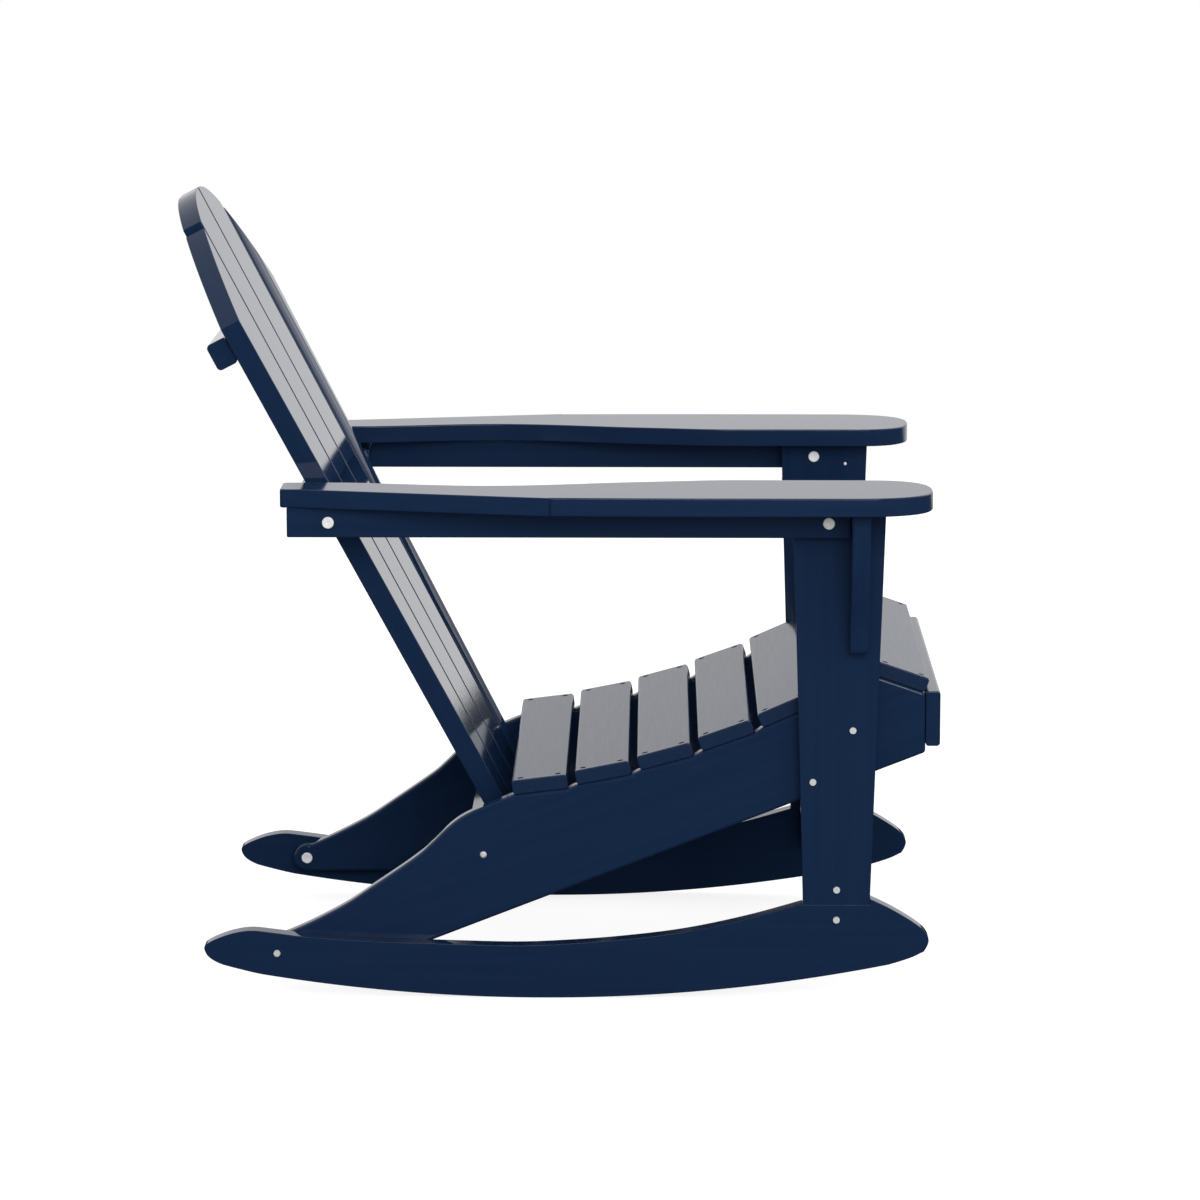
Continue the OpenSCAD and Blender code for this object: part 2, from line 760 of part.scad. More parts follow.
// The cross rail lies level, notched in front for the leaning slats
module cross_rail() {
    l = back_l_at(arm_bolt_z);
    rise = cross_rail_t / 2 / cos(back_lean) + cut;
    color(lumber) place() difference() {
        translate([-leg_out_x, cross_front_y, arm_bolt_z - cross_rail_t / 2])
            cube([2 * leg_out_x, cross_rail_d, cross_rail_t]);
        on_back() translate([0, 0, -back_t]) linear_extrude(back_t + cross_rail_d) polygon([
            [-back_edge_x(l - rise - back_t) - notch_play, l - rise - back_t],
            [back_edge_x(l - rise - back_t) + notch_play, l - rise - back_t],
            [back_edge_x(l + rise + cross_rail_d) + notch_play, l + rise + cross_rail_d],
            [-back_edge_x(l + rise + cross_rail_d) - notch_play, l + rise + cross_rail_d]
        ]);
        both_sides() rear_arm_bolt_hole();
        cross_screw_places() cross_screw_hole();
    }
}

// Screws through the upper rail into the slats' backs, with their heads behind
module upper_screw_places() {
    for (x = slat_lines(upper_rail_l)) on_back()
        translate([x, upper_rail_l, -back_t - upper_rail_t]) rotate([180, 0, 0]) children();
}

module lower_screw_places() {
    for (x = slat_lines(lower_rail_l)) on_back()
        translate([x, lower_rail_l, -back_t - upper_rail_t]) rotate([180, 0, 0]) children();
}

back_screw_l = upper_rail_t - screw_head_h + back_screw_bite;

module back_screw_hole() {
    screw_hole(back_screw_l, lower_rail_d);
}

module cross_screw_places() {
    for (x = slat_lines(back_l_at(arm_bolt_z)))
        translate([x, arm_rail_back, arm_bolt_z]) rotate([-90, 0, 0]) children();
}

cross_screw_l = cross_web - screw_head_h + cross_screw_bite;

module cross_screw_hole() {
    screw_hole(cross_screw_l, 0);
}

module upper_rail_screws() {
    color(steel) place() upper_screw_places() screw(back_screw_l);
}

module lower_rail_screws() {
    color(steel) place() lower_screw_places() screw(back_screw_l);
}

module cross_rail_screws() {
    color(steel) place() cross_screw_places() screw(cross_screw_l);
}

// Arms
module arm_rail(side) {
    color(lumber) on_side(side) place() difference() {
        side_board(leg_out_x, arm_rail_out_x) polygon([
            ahead(-arm_rail_back, arm_under_z - arm_rail_h),
            ahead(bracket_rear_u, arm_under_z - arm_rail_h),
            ahead(bracket_rear_u, arm_under_z),
            ahead(-arm_rail_back, arm_under_z)
        ]);
        hole_across(leg_out_x - cut, arm_rail_out_x + cut, front_bolt_y, arm_bolt_z, bolt_hole_r);
        rear_arm_bolt_hole();
        armrest_screw_places() armrest_screw_hole();
    }
}

arm_rear_y = arm_rail_back + arm_rear_overhang;
function arm_point(share, out) = [leg_out_x + out, arm_rear_y - share * arm_l];

module armrest_outline() {
    inner = [
        arm_point(arm_cheek_in_share, -arm_palm_in),
        arm_point((arm_cheek_in_share + arm_palm_share) / 2, -arm_palm_in),
        arm_point(arm_palm_share, -arm_palm_in),
        for (i = [2, 1, 0]) arm_point(
            arm_swell_shares[i],
            -arm_waist_in - arm_swell_in_shares[i] * (arm_palm_in - arm_waist_in)
        ),
        arm_point(arm_waist_shares[1], -arm_waist_in),
        arm_point(arm_waist_shares[0], -arm_waist_in),
        arm_point(
            arm_stem_bend_share,
            -arm_stem_in + arm_stem_bend_in_share * (arm_stem_in - arm_waist_in)
        ),
        arm_point(arm_stem_share, -arm_stem_in),
        arm_point(0, -arm_stem_in) - [0, arm_rear_round]
    ];
    rear = concat(
        arc(
            arm_point(0, -arm_stem_in) + [arm_rear_round, -arm_rear_round],
            arm_rear_round, 180, 90, curve_steps
        ),
        arc(
            arm_point(0, arm_stem_out) + [-arm_rear_round, -arm_rear_round],
            arm_rear_round, 90, 0, curve_steps
        )
    );
    outer = [
        for (i = [0 : len(arm_outer_shares) - 1]) arm_point(
            arm_outer_shares[i],
            arm_stem_out + arm_outer_out_shares[i] * (arm_palm_out - arm_stem_out)
        ),
        arm_point(arm_swell_shares[2], arm_palm_out),
        arm_point(arm_cheek_out_share, arm_palm_out)
    ];
    nose = [
        for (i = [1 : 2 * arch_steps - 1])
            let (
                turn = quarter_turn * i / arch_steps,
                length = turn < quarter_turn ? arm_nose_out : arm_nose_in
            )
                arm_point(1, arm_mid) + [
                    arm_half * sign(cos(turn)) * pow(abs(cos(turn)), nose_power),
                    length * (1 - pow(sin(turn), nose_power))
                ]
    ];
    polygon(concat(curve(inner), rear, curve(outer), nose));
}

module armrest(side) {
    color(lumber) on_side(side) place() difference() {
        translate([0, 0, arm_under_z]) linear_extrude(board_t) armrest_outline();
        armrest_screw_places() armrest_screw_hole();
    }
}

// Screws from under the arm rail up into the armrest
module armrest_screw_places() {
    for (s = arm_screw_shares)
        translate([
            (leg_out_x + arm_rail_out_x) / 2,
            arm_rail_back - s * (arm_rail_back + bracket_rear_u),
            arm_under_z - arm_rail_h
        ]) rotate([180, 0, 0]) children();
}

armrest_screw_l = arm_rail_h - screw_head_h + arm_screw_bite;

module armrest_screw_hole() {
    screw_hole(armrest_screw_l, 0);
}

module armrest_screws() {
    color(steel) both_sides() place() armrest_screw_places() screw(armrest_screw_l);
}

module bracket_outline() {
    reach = bracket_reach - bracket_foot;
    outer = curve(concat(
        [[leg_out_x + bracket_reach, arm_under_z]],
        [
            for (s = bracket_shares)
                [leg_out_x + bracket_foot + s[0] * reach, arm_under_z - s[1] * bracket_h]
        ],
        [[leg_out_x + bracket_foot, arm_under_z - bracket_h + bracket_round]]
    ));
    corner = arc(
        [leg_out_x + bracket_foot - bracket_round, arm_under_z - bracket_h + bracket_round],
        bracket_round, 0, -90, curve_steps
    );
    polygon(concat(
        outer, corner,
        [[leg_out_x, arm_under_z - bracket_h], [leg_out_x, arm_under_z]]
    ));
}

module arm_bracket(side) {
    color(lumber) on_side(side) place() difference() {
        translate([0, -bracket_rear_u, 0]) rotate([90, 0, 0])
            linear_extrude(board_t) bracket_outline();
        bracket_screw_places() bracket_screw_hole();
    }
}

// Screws from the leg's inner face into the bracket
module bracket_screw_places() {
    for (s = bracket_screw_down_shares)
        translate([rail_out_x, -bracket_screw_u, arm_under_z - s * bracket_h])
            rotate([0, -90, 0]) children();
}

bracket_screw_l = board_t - small_screw_head_h + screw_bite;

module bracket_screw_hole() {
    screw_hole(bracket_screw_l, 0, small_screw_head_r, small_screw_head_h);
}

module bracket_screws() {
    color(steel) both_sides() place() bracket_screw_places()
        screw(bracket_screw_l, small_screw_head_r, small_screw_head_h);
}

// Bolts. Each is drawn on the sitter's left and mirrored.
module bolt_out(x, y, z) {
    across(x, y, z) children();
}

module bolt_in(x, y, z) {
    translate([x, y, z]) rotate([0, -90, 0]) children();
}

through_l = 2 * board_t - hole_play;

module front_arm_bolts() {
    color(steel) both_sides() place()
        bolt_out(arm_rail_out_x, front_bolt_y, arm_bolt_z) bolt(through_l - head_h);
}

module front_arm_nuts() {
    color(steel) both_sides() place()
        bolt_in(rail_out_x, front_bolt_y, arm_bolt_z) flat_nut(board_t);
}

module rear_arm_bolts() {
    color(steel) both_sides() place()
        bolt_out(arm_rail_out_x, cross_bolt_y, arm_bolt_z) bolt(board_t + rear_arm_bolt_bite);
}

module rear_arm_bolt_hole() {
    hole_across(leg_out_x - rear_arm_bolt_bite - hole_play, arm_rail_out_x + cut,
        cross_bolt_y, arm_bolt_z, bolt_hole_r);
}

module lower_rail_bolts() {
    color(steel) both_sides() place()
        bolt_out(rail_out_x, lower_rail_y, lower_rail_z) {
            dome_head();
            shank(board_t + lower_rail_bolt_bite);
        }
}

module lower_rail_bolt_hole() {
    hole_across(rail_in_x - lower_rail_bolt_bite - hole_play, rail_out_x + cut,
        lower_rail_y, lower_rail_z, bolt_hole_r);
}

module leg_bolts() {
    color(steel) both_sides() place()
        for (i = [0, 1]) bolt_in(rail_in_x, leg_bolt_y(i), leg_bolt_z(i))
            bolt(through_l - dome_h);
}

module leg_nuts() {
    color(steel) both_sides() place()
        for (i = [0, 1]) bolt_out(leg_out_x, leg_bolt_y(i), leg_bolt_z(i))
            dome_nut(sleeve_l);
}

module rocker_bolts() {
    color(steel) both_sides() place()
        bolt_in(rail_in_x, tail_y, tail_z) bolt(through_l - dome_h);
}

module rocker_nuts() {
    color(steel) both_sides() place()
        bolt_out(leg_out_x, tail_y, tail_z) dome_nut(sleeve_l);
}

module plate_bolts() {
    color(steel) both_sides() place()
        for (e = [-1, 1]) bolt_in(rail_in_x, -leg_ahead, foot_h + e * plate_bolt_off)
            bolt(through_l - dome_h);
}

module plate_nuts() {
    color(steel) both_sides() place()
        for (e = [-1, 1]) bolt_out(leg_out_x, -leg_ahead, foot_h + e * plate_bolt_off)
            dome_nut(sleeve_l);
}

rocker(1);  // rocker_left
rocker(-1);  // rocker_right
front_leg(1);  // front_leg_left
front_leg(-1);  // front_leg_right
joint_plate(1);  // joint_plate_left
joint_plate(-1);  // joint_plate_right
seat_rail(1);  // seat_rail_left
seat_rail(-1);  // seat_rail_right
for (k = [0 : rising])
    seat_slat(k);
front_apron();
for (which = [1 : 4])
    back_slat(which);
upper_back_rail();
cross_rail();
lower_back_rail();
arm_rail(1);  // arm_rail_left
arm_rail(-1);  // arm_rail_right
armrest(1);  // armrest_left
armrest(-1);  // armrest_right
arm_bracket(1);  // arm_bracket_left
arm_bracket(-1);  // arm_bracket_right
seat_screws();
apron_screws();
upper_rail_screws();
cross_rail_screws();
lower_rail_screws();
armrest_screws();
bracket_screws();
front_arm_bolts();
front_arm_nuts();
rear_arm_bolts();
lower_rail_bolts();
leg_bolts();
leg_nuts();
rocker_bolts();
rocker_nuts();
plate_bolts();
plate_nuts();
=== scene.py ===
# %% [markdown]
# # An outdoor rocking chair of poly lumber
#
# Chairs like this one are sawn from boards of recycled polyethylene. The colour goes right
# through the board, so a cut edge looks like the face, and the boards are joined with stainless
# bolts and coated screws. The construction model already holds every board, bore and bolt at
# its true place. This lesson dresses it: soft edges, a navy plastic with a drawn grain, and
# plain steel.

# %% Load the construction model
import math

import bmesh
import bpy
import numpy as np
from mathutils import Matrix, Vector


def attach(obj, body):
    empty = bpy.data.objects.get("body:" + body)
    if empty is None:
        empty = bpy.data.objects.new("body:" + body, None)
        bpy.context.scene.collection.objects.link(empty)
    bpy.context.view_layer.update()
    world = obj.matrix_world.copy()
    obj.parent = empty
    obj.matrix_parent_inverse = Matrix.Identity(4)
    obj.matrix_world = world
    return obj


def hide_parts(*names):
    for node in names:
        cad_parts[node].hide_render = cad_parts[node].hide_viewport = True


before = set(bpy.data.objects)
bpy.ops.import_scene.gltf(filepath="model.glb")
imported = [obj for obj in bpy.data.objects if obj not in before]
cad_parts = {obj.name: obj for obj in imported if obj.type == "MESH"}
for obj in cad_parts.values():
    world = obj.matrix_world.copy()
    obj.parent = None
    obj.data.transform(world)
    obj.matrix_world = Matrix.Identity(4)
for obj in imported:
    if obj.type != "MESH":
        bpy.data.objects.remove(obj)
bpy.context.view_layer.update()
MM = 0.001
WHITE = "#FFFFFF"
print("pieces in the construction model:", len(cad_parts))

# %% [markdown]
# ## The camera
#
# The photograph was taken from far away with a long lens, a little above arm height, so that
# parallel boards stay nearly parallel. A distant camera with a narrow angle gives that look. A
# near camera with a wide angle would swell the near arm.

# %% Camera
IMAGE_PX = 1200
FOCAL_PX = 4851.6
SENSOR_MM = 36.0
CAMERA_AT = Vector((-5.9729, -0.1183, 1.4747))
PITCH = math.radians(9.834)
YAW = math.radians(0.626)

camera_data = bpy.data.cameras.new("photo_camera")
camera_data.sensor_width = SENSOR_MM
camera_data.lens = FOCAL_PX / IMAGE_PX * SENSOR_MM
camera = bpy.data.objects.new("photo_camera", camera_data)
bpy.context.scene.collection.objects.link(camera)
look = Vector((math.cos(PITCH) * math.cos(YAW), math.cos(PITCH) * math.sin(YAW), -math.sin(PITCH)))
camera.location = CAMERA_AT
camera.rotation_euler = look.to_track_quat("-Z", "Y").to_euler()
bpy.context.scene.camera = camera
print("lens:", round(camera_data.lens, 1), "mm, distance:", round(CAMERA_AT.length, 2), "m")

# %% [markdown]
# ## Colours and nodes
#
# Colours are written as the hex values that a paint program shows. Blender works in linear
# light, so one function turns each value. One more function adds a shader node, with its
# settings and its links in one line.

# %% Colour and node helpers
def linear(hex_colour):
    """An sRGB hex colour as linear RGBA."""
    levels = [int(hex_colour[i:i + 2], 16) / 255 for i in (1, 3, 5)]
    return [v / 12.92 if v <= 0.04045 else ((v + 0.055) / 1.055) ** 2.4 for v in levels] + [1.0]


def add(tree, kind, settings=None, **inputs):
    """Adds a node. An input is a value, or another node's output socket."""
    node = tree.nodes.new(kind)
    for name, value in (settings or {}).items():
        setattr(node, name, value)
    for name, value in inputs.items():
        socket = next(s for s in node.inputs if s.name.replace(" ", "_") == name and s.enabled)
        if isinstance(value, bpy.types.NodeSocket):
            tree.links.new(value, socket)
        else:
            socket.default_value = value
    return node


def new_material(name):
    """An empty material, and its tree and output node."""
    material = bpy.data.materials.new(name)
    material.use_nodes = True
    material.node_tree.nodes.clear()
    output = material.node_tree.nodes.new("ShaderNodeOutputMaterial")
    return material, material.node_tree, output


# %% [markdown]
# ## Light
#
# The studio is white all round, and the glancing reflection of that white is what makes the
# tops of the boards look pale grey from the side, although they are navy. So the world is plain
# white. The floor is a broad strip of pale grey paper that the camera sees as white, apart from
# the chair's shadow.
#
# A board's side mirrors the floor beside it, and a white floor would wash out its navy. So
# mirrored light finds the paper dark, which no real paper does: it is a trick of this stage,
# fitted to one photograph. For soft light the paper stays pale and brightens the faces under
# the arms. The strip runs far out on the camera's side and ends behind the chair, where the
# glancing reflections of the back pass over its edge and find the white. Behind the camera the
# paper rises as a sweep, so that the arched edges of the back, which face upwards, mirror it too.

# %% World, floor and lamps
# The strip's edges in metres: towards the camera and behind the chair, to its front and rear
FLOOR_NEAR, FLOOR_FAR = -12.0, 4.0
FLOOR_FRONT, FLOOR_REAR = -9.0, 14.0
# Behind the camera the paper rises this high
SWEEP_H = 22.0
# A wing of the paper in front of the chair, which the armrests' round fronts mirror
WING_FAR, WING_REAR = 3.3, -1.6
FLOOR_COLOUR = "#A0A0A0"
FLOOR_FOR_BOARDS = "#303030"
# Added for the camera alone, so that the grey paper looks white to it
FLOOR_LIFT = 0.82

world = bpy.data.worlds.new("white_studio")
bpy.context.scene.world = world
world.use_nodes = True
sky = world.node_tree
sky.nodes.clear()
ray = add(sky, "ShaderNodeLightPath")
seen = add(sky, "ShaderNodeMath", {"operation": "MAXIMUM"})
sky.links.new(ray.outputs["Is Camera Ray"], seen.inputs[0])
sky.links.new(ray.outputs["Is Glossy Ray"], seen.inputs[1])
seen_too = add(sky, "ShaderNodeMath", {"operation": "MAXIMUM"})
sky.links.new(seen.outputs[0], seen_too.inputs[0])
sky.links.new(ray.outputs["Is Transmission Ray"], seen_too.inputs[1])
soft = add(sky, "ShaderNodeBackground", Color=linear(WHITE), Strength=1.0)
white = add(sky, "ShaderNodeBackground", Color=linear(WHITE), Strength=1.0)
mix = add(sky, "ShaderNodeMixShader", Fac=seen_too.outputs[0])
sky.links.new(soft.outputs[0], mix.inputs[1])
sky.links.new(white.outputs[0], mix.inputs[2])
sky_output = sky.nodes.new("ShaderNodeOutputWorld")
sky.links.new(mix.outputs[0], sky_output.inputs["Surface"])

floor_mesh = bpy.data.meshes.new("floor")
bm = bmesh.new()
corners = [(FLOOR_NEAR, FLOOR_FRONT), (WING_FAR, FLOOR_FRONT), (WING_FAR, WING_REAR),
           (FLOOR_FAR, WING_REAR), (FLOOR_FAR, FLOOR_REAR), (FLOOR_NEAR, FLOOR_REAR)]
lying = [bm.verts.new((x, y, 0)) for x, y in corners]
bm.faces.new(lying)
rising = [bm.verts.new((FLOOR_NEAR, y, SWEEP_H)) for y in (FLOOR_REAR, FLOOR_FRONT)]
bm.faces.new([lying[0], lying[-1]] + rising)
bm.to_mesh(floor_mesh)
bm.free()
floor = bpy.data.objects.new("floor", floor_mesh)
bpy.context.scene.collection.objects.link(floor)

paper, paper_tree, paper_out = new_material("studio paper")
ray = add(paper_tree, "ShaderNodeLightPath")
matt = add(paper_tree, "ShaderNodeBsdfDiffuse", Color=linear(FLOOR_COLOUR))
dim = add(paper_tree, "ShaderNodeBsdfDiffuse", Color=linear(FLOOR_FOR_BOARDS))
lift = add(paper_tree, "ShaderNodeEmission", Color=linear(WHITE), Strength=FLOOR_LIFT)
lit = add(paper_tree, "ShaderNodeAddShader")
paper_tree.links.new(matt.outputs[0], lit.inputs[0])
paper_tree.links.new(lift.outputs[0], lit.inputs[1])
camera_or_glossy = add(paper_tree, "ShaderNodeMixShader", Fac=ray.outputs["Is Glossy Ray"])
paper_tree.links.new(matt.outputs[0], camera_or_glossy.inputs[1])
paper_tree.links.new(dim.outputs[0], camera_or_glossy.inputs[2])
choose = add(paper_tree, "ShaderNodeMixShader", Fac=ray.outputs["Is Camera Ray"])
paper_tree.links.new(camera_or_glossy.outputs[0], choose.inputs[1])
paper_tree.links.new(lit.outputs[0], choose.inputs[2])
paper_tree.links.new(choose.outputs[0], paper_out.inputs["Surface"])
floor_mesh.materials.append(paper)


def softbox(name, place, aim, size, watts):
    """A square lamp at a place in metres, turned towards a point."""
    data = bpy.data.lights.new(name, "AREA")
    data.shape = "SQUARE"
    data.size = size
    data.energy = watts
    lamp = bpy.data.objects.new(name, data)
    lamp.location = place
    lamp.rotation_euler = (Vector(aim) - Vector(place)).to_track_quat("-Z", "Y").to_euler()
    bpy.context.scene.collection.objects.link(lamp)


CHAIR_MIDDLE = (0, 0, 0.5)
softbox("key", (-4.5, -0.8, 2.2), CHAIR_MIDDLE, 2.4, 140)
softbox("fill", (2.4, -2.6, 2.6), CHAIR_MIDDLE, 2.4, 30)
view = bpy.context.scene.view_settings
view.view_transform = "Standard"

# %% [markdown]
# ## Poly lumber
#
# Polyethylene boards are extruded, and a roller presses a shallow wood grain into their skin
# while they are warm. The colour is even, with faint streaks along the board. The skin has a
# satin gloss. Each board carries an attribute with its own length, width and depth in
# millimetres, so one material draws the grain along every board, whichever way it is turned.

# %% Poly lumber
NAVY = "#152743"
NAVY_STREAK = "#172945"
GRAIN_ATTRIBUTE = "board_mm"
CROWN_ATTRIBUTE = "board_crown"
# The far back board is shaded as if its inner edge fell back. The fall is deeper than the board
# is thick, so it imitates the photograph's shading and is no real shape
CROWN_MM = 44.0
CROWN_CURVE = 1.6
# The fall reaches this many widths of the board's foot across it
CROWN_REACH = 1.4
DULL_ATTRIBUTE = "board_dullness"
# Added to the roughness of boards by name, fitted to their brightness in the photograph
DULLNESS = {"seat_slat": 0.15, "armrest": 0.055, "back_slat": -0.03}
# Lower than the 1.5 of polyethylene, fitted to the brightness in the photograph
LUMBER_IOR = 1.32
SATIN_LOW, SATIN_HIGH = 0.07, 0.11
# A grain line is about 1.1 mm wide and 70 mm long
GRAIN_ACROSS = 1 / 1.1
GRAIN_ALONG = 1 / 70
STREAK_ACROSS = 1 / 9
STREAK_ALONG = 1 / 260


def poly_lumber():
    material, tree, output = new_material("navy poly lumber")
    place = add(tree, "ShaderNodeAttribute", {"attribute_name": GRAIN_ATTRIBUTE})
    fine = add(tree, "ShaderNodeMapping", Vector=place.outputs["Vector"],
               Scale=(GRAIN_ALONG, GRAIN_ACROSS, GRAIN_ACROSS))
    grain = add(tree, "ShaderNodeTexNoise", Vector=fine.outputs[0], Scale=1.0, Detail=3.0,
                Roughness=0.6)
    broad = add(tree, "ShaderNodeMapping", Vector=place.outputs["Vector"],
                Scale=(STREAK_ALONG, STREAK_ACROSS, STREAK_ACROSS))
    streak = add(tree, "ShaderNodeTexNoise", Vector=broad.outputs[0], Scale=1.0, Detail=2.0)
    colour = add(tree, "ShaderNodeValToRGB", Fac=streak.outputs[0])
    colour.color_ramp.elements[0].position = 0.35
    colour.color_ramp.elements[0].color = linear(NAVY)
    colour.color_ramp.elements[1].position = 0.65
    colour.color_ramp.elements[1].color = linear(NAVY_STREAK)
    gloss = add(tree, "ShaderNodeMapRange", Value=grain.outputs[0], From_Min=0.3, From_Max=0.7,
                To_Min=SATIN_LOW, To_Max=SATIN_HIGH)
    depth = add(tree, "ShaderNodeAttribute", {"attribute_name": DULL_ATTRIBUTE})
    dulled = add(tree, "ShaderNodeMath", {"operation": "ADD"})
    tree.links.new(gloss.outputs[0], dulled.inputs[0])
    tree.links.new(depth.outputs["Fac"], dulled.inputs[1])
    crown = add(tree, "ShaderNodeAttribute", {"attribute_name": CROWN_ATTRIBUTE})
    fall = add(tree, "ShaderNodeMath", {"operation": "POWER"})
    on_board = add(tree, "ShaderNodeClamp", Value=crown.outputs["Fac"])
    tree.links.new(on_board.outputs[0], fall.inputs[0])
    fall.inputs[1].default_value = CROWN_CURVE
    curved = add(tree, "ShaderNodeBump", {"invert": True}, Height=fall.outputs[0], Strength=1.0,
                 Distance=CROWN_MM * MM)
    relief = add(tree, "ShaderNodeBump", Height=grain.outputs[0], Strength=0.10,
                 Distance=0.1 * MM, Normal=curved.outputs[0])
    shader = add(tree, "ShaderNodeBsdfPrincipled", Base_Color=colour.outputs[0],
                 Roughness=dulled.outputs[0], Normal=relief.outputs[0], IOR=LUMBER_IOR)
    tree.links.new(shader.outputs[0], output.inputs["Surface"])
    return material


LUMBER = poly_lumber()
print("material:", LUMBER.name)

# %% [markdown]
# ## Stainless steel and coated screws
#
# The bolts are turned from stainless steel and tumbled, which leaves a soft, bright grey. The
# screws in the seat have heads coated to match the boards, so that they hardly show.

# %% Stainless steel and coated screws
STEEL = "#F4F4F5"
# The dome heads are the same steel in a darker grey: painted shade that darkens their curved heads,
# not another finish
SHADED_DOME_STEEL = "#D8D9DB"
COATING = "#0E1930"
# Real stainless steel is fully metallic. Half is fitted to the bright, matt heads in the photograph
METALLIC = 0.5
TUMBLED_LOW, TUMBLED_HIGH = 0.60, 0.70


def stainless_steel(name, tint):
    material, tree, output = new_material(name)
    place = add(tree, "ShaderNodeTexCoord")
    # Tumbling leaves marks about 0.5 mm across
    marks = add(tree, "ShaderNodeTexNoise", Vector=place.outputs["Object"],
                Scale=1 / (0.5 * MM), Detail=2.0)
    gloss = add(tree, "ShaderNodeMapRange", Value=marks.outputs[0], From_Min=0.3, From_Max=0.7,
                To_Min=TUMBLED_LOW, To_Max=TUMBLED_HIGH)
    shader = add(tree, "ShaderNodeBsdfPrincipled", Base_Color=linear(tint), Metallic=METALLIC,
                 Roughness=gloss.outputs[0])
    tree.links.new(shader.outputs[0], output.inputs["Surface"])
    return material


def coated_steel():
    material, tree, output = new_material("navy coated steel")
    place = add(tree, "ShaderNodeTexCoord")
    # The coating has an orange peel about 0.8 mm across
    peel = add(tree, "ShaderNodeTexNoise", Vector=place.outputs["Object"],
               Scale=1 / (0.8 * MM), Detail=1.0)
    relief = add(tree, "ShaderNodeBump", Height=peel.outputs[0], Strength=0.15,
                 Distance=0.05 * MM)
    shader = add(tree, "ShaderNodeBsdfPrincipled", Base_Color=linear(COATING), Roughness=0.45,
                 Normal=relief.outputs[0], IOR=1.5)
    tree.links.new(shader.outputs[0], output.inputs["Surface"])
    return material


STAINLESS = stainless_steel("tumbled stainless steel", STEEL)
# A copy of the steel for the dome heads, darkened as painted shade
SHADED_STAINLESS = stainless_steel("dull stainless steel", SHADED_DOME_STEEL)
COATED = coated_steel()
print("materials:", STAINLESS.name, "and", COATED.name)

# %% [markdown]
# ## Rounding the boards
#
# A router runs along every long edge of such a board, and that soft edge catches the thin light
# line that the photograph shows. The construction boards have sharp edges, or round ones only
# where the section is round. A copy of each board is merged, its flat triangles are dissolved
# into whole faces, and the edges of its outline are rounded. The rims of its bores stay crisp:
# a rim is a small ring of sharp edges, and the outline is a large one.

# %% Rounding
FLAT = math.radians(0.3)
SHARP = math.radians(30)
RIM_SIZE = 14 * MM
MERGE = 0.002 * MM
ROUND_STEPS = 4


def chains(edges):
    """Groups edges that share a corner."""
    left = set(edges)
    while left:
        chain, front = [], [left.pop()]
        while front:
            edge = front.pop()
            chain.append(edge)
            for corner in edge.verts:
                for other in corner.link_edges:
                    if other in left:
                        left.remove(other)
                        front.append(other)
        yield chain


def chain_size(chain):
    corners = [v.co for edge in chain for v in edge.verts]
    return max(max(c[i] for c in corners) - min(c[i] for c in corners) for i in range(3))


def rounded_board(node, radius):
    """A copy of a construction board with the edges of its outline rounded."""
    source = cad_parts[node]
    bm = bmesh.new()
    bm.from_mesh(source.data)
    bmesh.ops.remove_doubles(bm, verts=bm.verts, dist=MERGE)
    bmesh.ops.dissolve_limit(bm, angle_limit=FLAT, verts=bm.verts, edges=bm.edges)
    sharp = [e for e in bm.edges if len(e.link_faces) == 2 and e.calc_face_angle() > SHARP]
    outline = [e for chain in chains(sharp) if chain_size(chain) > RIM_SIZE for e in chain]
    bmesh.ops.bevel(bm, geom=outline, offset=radius, segments=ROUND_STEPS, profile=0.5,
                    affect="EDGES", clamp_overlap=False)
    mesh = bpy.data.meshes.new(node + "_board")
    bm.to_mesh(mesh)
    bm.free()
    board = bpy.data.objects.new(node + "_board", mesh)
    bpy.context.scene.collection.objects.link(board)
    return board


# %% [markdown]
# ## The way along each board
#
# The grain follows the length of its board. A table gives the direction in which each board was
# sawn, and the attribute holds every corner's place along it, across it and through it. Each
# board starts at another place in the pattern, as if it came from another length of lumber.

# %% Board directions
BACK_LEAN = math.radians(27.6)
ALONG_X = Vector((1, 0, 0))
ALONG_Y = Vector((0, 1, 0))
ALONG_Z = Vector((0, 0, 1))
UP_BACK = Vector((0, math.sin(BACK_LEAN), math.cos(BACK_LEAN)))
DOWN_RAIL = Vector((0, math.cos(math.radians(21.3)), -math.sin(math.radians(21.3))))

BOARDS = {}
for side in ("left", "right"):
    BOARDS["rocker_" + side] = (ALONG_Y, 0.6)
    BOARDS["front_leg_" + side] = (ALONG_Z, 0.8)
    BOARDS["joint_plate_" + side] = (ALONG_Z, 1.5)
    BOARDS["seat_rail_" + side] = (DOWN_RAIL, 4.8)
    BOARDS["arm_rail_" + side] = (ALONG_Y, 1.8)
    BOARDS["armrest_" + side] = (ALONG_Y, 1.7)
    BOARDS["arm_bracket_" + side] = (ALONG_Z, 2.5)
for number in range(1, 8):
    BOARDS["seat_slat_%d" % number] = (ALONG_X, 1.4)
for number in range(1, 5):
    BOARDS["back_slat_%d" % number] = (UP_BACK, 1.5)
for name in ("front_apron", "upper_back_rail", "lower_back_rail", "cross_rail"):
    BOARDS[name] = (ALONG_X, 1.5)

PATTERN_STEP = Vector((613.0, 97.0, 41.0))


